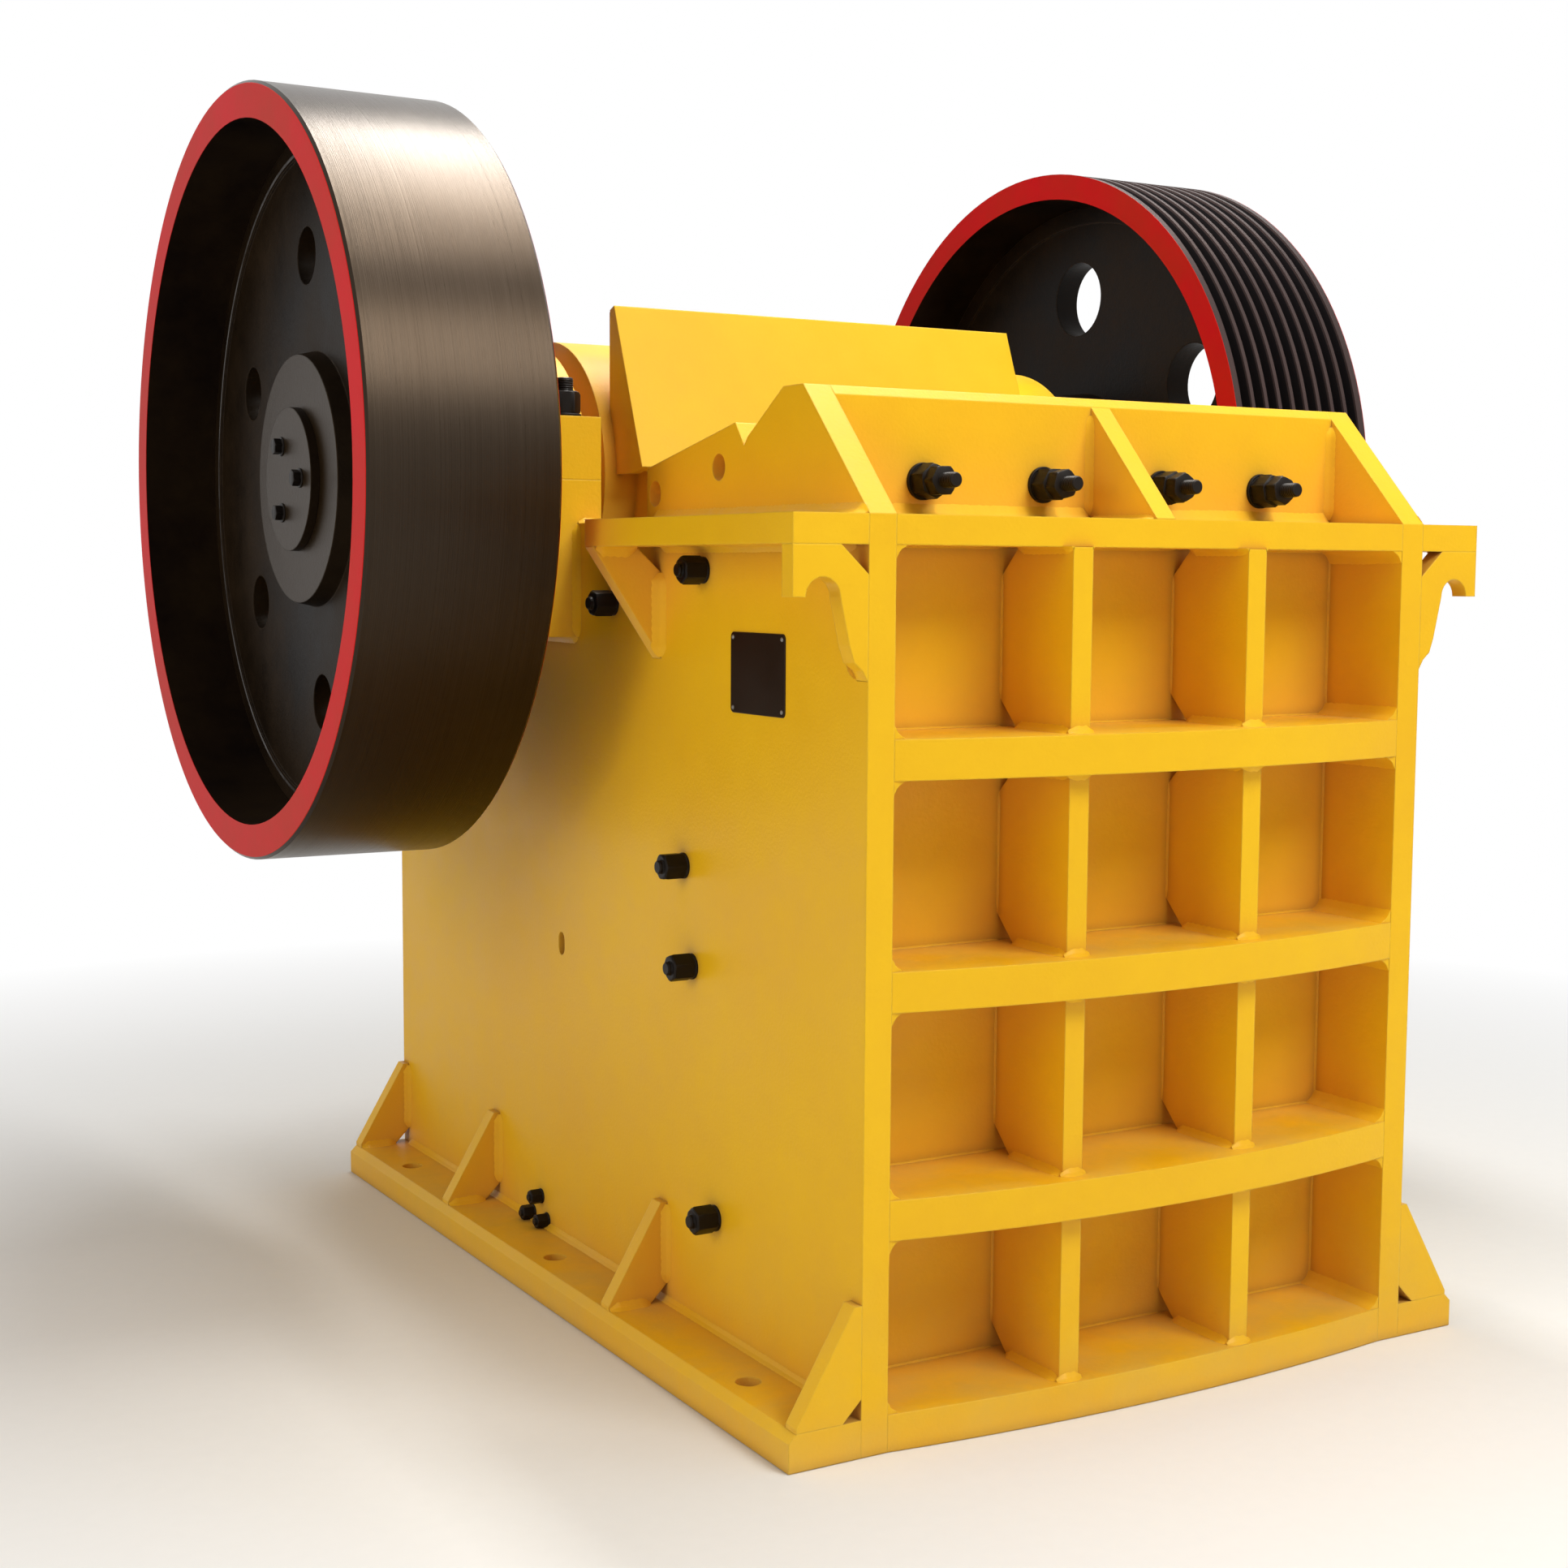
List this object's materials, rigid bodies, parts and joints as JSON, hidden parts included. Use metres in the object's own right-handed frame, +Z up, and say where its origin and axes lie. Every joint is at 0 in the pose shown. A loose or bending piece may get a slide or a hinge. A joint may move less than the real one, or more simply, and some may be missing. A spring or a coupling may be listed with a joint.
{
  "type": "jaw crusher",
  "caption": "single toggle jaw crusher with a welded plate frame, ribbed front wall, swing jaw on an eccentric shaft, plain flywheel and grooved drive sheave",
  "frame": {"origin": "middle of the base footprint on the floor, which is the middle of the anchor hole pattern", "axes": "+X across the machine towards the grooved sheave, +Y from the ribbed front wall to the rear, +Z up"},
  "size_m": [2.254, 2.1969, 2.326],
  "materials": {
    "yellow_paint": "gloss machine enamel over welded plate",
    "wheel_casting": "turned casting, dark oiled faces, red painted rim edge",
    "manganese_steel": "as cast wear plate",
    "dark_steel": "blackened steel",
    "forged_steel": "ground and oiled",
    "cast_toggle": "as cast",
    "spring_steel": "shot peened and oiled"
  },
  "bodies": {
    "frame": {"side_wall_left": "yellow_paint", "side_wall_right": "yellow_paint", "front_plate": "yellow_paint", "front_rib_upper": "yellow_paint", "front_rib_middle": "yellow_paint", "front_rib_lower": "yellow_paint", "front_stiffeners_left": "yellow_paint", "front_stiffeners_right": "yellow_paint", "base_front_bar": "yellow_paint", "base_rear_bar": "yellow_paint", "base_flange_left": "yellow_paint", "base_flange_right": "yellow_paint", "base_gussets_left": "yellow_paint", "base_gussets_right": "yellow_paint", "top_flange_front": "yellow_paint", "top_flange_left": "yellow_paint", "top_flange_right": "yellow_paint", "lifting_ears": "yellow_paint", "flange_gussets": "yellow_paint", "clamp_wall": "yellow_paint", "bearing_seat_left": "yellow_paint", "bearing_seat_right": "yellow_paint", "bearing_cap_left": "yellow_paint", "bearing_cap_right": "yellow_paint", "bearing_covers": "dark_steel", "cheek_plates_left": "manganese_steel", "cheek_plates_right": "manganese_steel", "fixed_jaw_plate": "manganese_steel", "fixed_jaw_wedge": "dark_steel", "rear_plate": "yellow_paint", "rear_ribs": "yellow_paint", "rear_stiffeners": "yellow_paint", "toggle_seat": "dark_steel", "toggle_plate": "cast_toggle", "tension_rods": "dark_steel", "tension_springs": "spring_steel"},
    "rotor": {"eccentric_shaft": "forged_steel", "flywheel_rim": "wheel_casting", "flywheel_web": "wheel_casting", "sheave_rim": "wheel_casting", "sheave_web": "wheel_casting", "shaft_end_caps": "dark_steel"},
    "swing_jaw": {"swing_jaw_body": "yellow_paint", "moving_jaw_plate": "manganese_steel", "jaw_guard": "yellow_paint"}
  },
  "joints": [
    {"name": "shaft_spin", "type": "hinge", "parent": "frame", "child": "rotor", "pos_m": [0, 0.38, 1.584], "axis": [1, 0, 0], "continuous": true},
    {"name": "jaw_swing", "type": "hinge", "parent": "rotor", "child": "swing_jaw", "pos_m": [0, 0.38, 1.599], "axis": [1, 0, 0], "continuous": true}
  ],
  "couplings": [
    {"joint": "jaw_swing", "follows": "shaft_spin", "ratio": -1}
  ]
}
